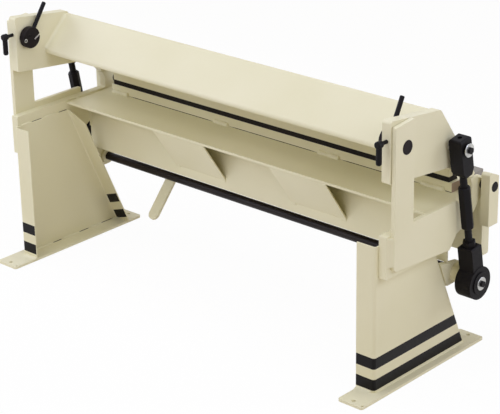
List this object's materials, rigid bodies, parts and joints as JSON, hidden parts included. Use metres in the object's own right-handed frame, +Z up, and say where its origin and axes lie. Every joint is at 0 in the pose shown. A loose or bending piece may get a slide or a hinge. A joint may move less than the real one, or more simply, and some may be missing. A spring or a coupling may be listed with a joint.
{
  "type": "box and pan brake",
  "caption": "Floor-standing sheet metal folder with a tilting clamping beam, split fingers, turnbuckle links, eccentric clamp shaft and a hinged bending apron on folded legs.",
  "frame": {"origin": "on the floor at the centre of the rectangle of anchor holes in the two foot plates", "axes": "+X along the bed to the operator's right, +Y to the rear away from the operator, +Z up"},
  "size_m": [2.458, 1.1046, 1.246],
  "materials": {
    "cream_paint": "semi-gloss enamel",
    "black_oxide_steel": "black oxide",
    "black_tool_steel": "black oxide, ground",
    "bright_steel": "zinc plated",
    "bare_steel": "milled",
    "bronze": "machined",
    "grip_rubber": "matt"
  },
  "bodies": {
    "frame": {"foot_left": "cream_paint", "foot_right": "cream_paint", "leg_left": "cream_paint", "leg_right": "cream_paint", "side_plate_left": "cream_paint", "side_plate_right": "cream_paint", "post_plate_left": "cream_paint", "post_plate_right": "cream_paint", "bed_shelf": "cream_paint", "bed_web": "cream_paint", "bed_gussets": "cream_paint", "bed_nose_bar": "cream_paint", "shaft_bearing_left": "cream_paint", "shaft_bearing_right": "cream_paint", "shaft_bushes": "bronze"},
    "shaft": {"clamp_shaft": "black_oxide_steel", "clamp_lever": "cream_paint", "clamp_eccentric_left": "black_oxide_steel", "clamp_eccentric_right": "black_oxide_steel", "eccentric_washers": "bright_steel", "eccentric_bolts": "black_oxide_steel"},
    "setback_carriage": {"setback_bushes": "bronze"},
    "beam": {"beam_shell": "cream_paint", "beam_end_left": "cream_paint", "beam_end_right": "cream_paint", "finger_bar": "cream_paint", "fingers_wide": "black_tool_steel", "fingers_medium": "black_tool_steel", "fingers_narrow": "black_tool_steel", "finger_bolts": "black_tool_steel", "link_pins": "black_oxide_steel", "link_spacers": "bright_steel", "link_washers": "bright_steel", "link_bolts": "black_oxide_steel"},
    "link_left": {"link_eye_left": "black_oxide_steel", "link_head_left": "black_oxide_steel", "link_nut_left": "black_oxide_steel"},
    "link_right": {"link_eye_right": "black_oxide_steel", "link_head_right": "black_oxide_steel", "link_nut_right": "black_oxide_steel"},
    "turnbuckle_left": {"turnbuckle_left": "black_oxide_steel"},
    "turnbuckle_right": {"turnbuckle_right": "black_oxide_steel"},
    "setback_left": {"setback_pin_left": "black_oxide_steel", "setback_lever_left": "black_oxide_steel"},
    "setback_right": {"setback_pin_right": "black_oxide_steel", "setback_lever_right": "black_oxide_steel"},
    "lock_left": {"lock_screw_left": "black_oxide_steel"},
    "lock_right": {"lock_screw_right": "black_oxide_steel"},
    "apron": {"apron_leaf": "cream_paint", "apron_flanges": "cream_paint", "apron_bar": "bare_steel", "apron_block_left": "cream_paint", "apron_block_right": "cream_paint", "hinge_pins": "black_oxide_steel", "apron_bolts": "black_oxide_steel", "apron_handles": "black_oxide_steel", "apron_grips": "grip_rubber"}
  },
  "joints": [
    {"name": "clamp_shaft_turn", "type": "hinge", "parent": "frame", "child": "shaft", "pos_m": [0, -0.262, 0.369], "axis": [1, 0, 0], "range_deg": [0, 35]},
    {"name": "setback_left_turn", "type": "hinge", "parent": "frame", "child": "setback_left", "pos_m": [-1.1, 0.17, 1.067], "axis": [1, 0, 0], "range_deg": [-30, 30]},
    {"name": "setback_right_turn", "type": "hinge", "parent": "frame", "child": "setback_right", "pos_m": [1.1, 0.17, 1.067], "axis": [1, 0, 0], "range_deg": [-30, 30]},
    {"name": "setback_slide", "type": "slide", "parent": "frame", "child": "setback_carriage", "axis": [0, 1, 0], "range_m": [-0.00157, 0.00157]},
    {"name": "beam_tilt", "type": "hinge", "parent": "setback_carriage", "child": "beam", "pos_m": [0, 0.17, 1.07], "axis": [-1, 0, 0], "range_deg": [0, 1.67]},
    {"name": "link_left_swing", "type": "hinge", "parent": "beam", "child": "link_left", "pos_m": [-1.171, -0.141, 0.981], "axis": [-1, 0, 0], "range_deg": [-2.64, 0]},
    {"name": "link_right_swing", "type": "hinge", "parent": "beam", "child": "link_right", "pos_m": [1.171, -0.141, 0.981], "axis": [-1, 0, 0], "range_deg": [-2.64, 0]},
    {"name": "turnbuckle_left_turn", "type": "hinge", "parent": "link_left", "child": "turnbuckle_left", "pos_m": [-1.171, -0.25405, 0.35341], "axis": [0, 0.1773, 0.9842], "range_deg": [-90, 90]},
    {"name": "turnbuckle_right_turn", "type": "hinge", "parent": "link_right", "child": "turnbuckle_right", "pos_m": [1.171, -0.25405, 0.35341], "axis": [0, 0.1773, 0.9842], "range_deg": [-90, 90]},
    {"name": "lock_left_turn", "type": "hinge", "parent": "beam", "child": "lock_left", "pos_m": [-1.1, 0.25, 1.104], "axis": [0, 1, 0], "range_deg": [-90, 90]},
    {"name": "lock_right_turn", "type": "hinge", "parent": "beam", "child": "lock_right", "pos_m": [1.1, 0.25, 1.104], "axis": [0, 1, 0], "range_deg": [-90, 90]},
    {"name": "apron_swing", "type": "hinge", "parent": "frame", "child": "apron", "pos_m": [0, -0.374, 0.744], "axis": [-1, 0, 0], "range_deg": [0, 120]}
  ],
  "couplings": [
    {"joint": "beam_tilt", "follows": "clamp_shaft_turn", "ratio": 0.047659},
    {"joint": "link_left_swing", "follows": "clamp_shaft_turn", "ratio": -0.07516},
    {"joint": "link_right_swing", "follows": "clamp_shaft_turn", "ratio": -0.07516},
    {"joint": "setback_left_turn", "follows": "setback_slide", "rad_per_m": -333.33},
    {"joint": "setback_right_turn", "follows": "setback_slide", "rad_per_m": -333.33}
  ]
}
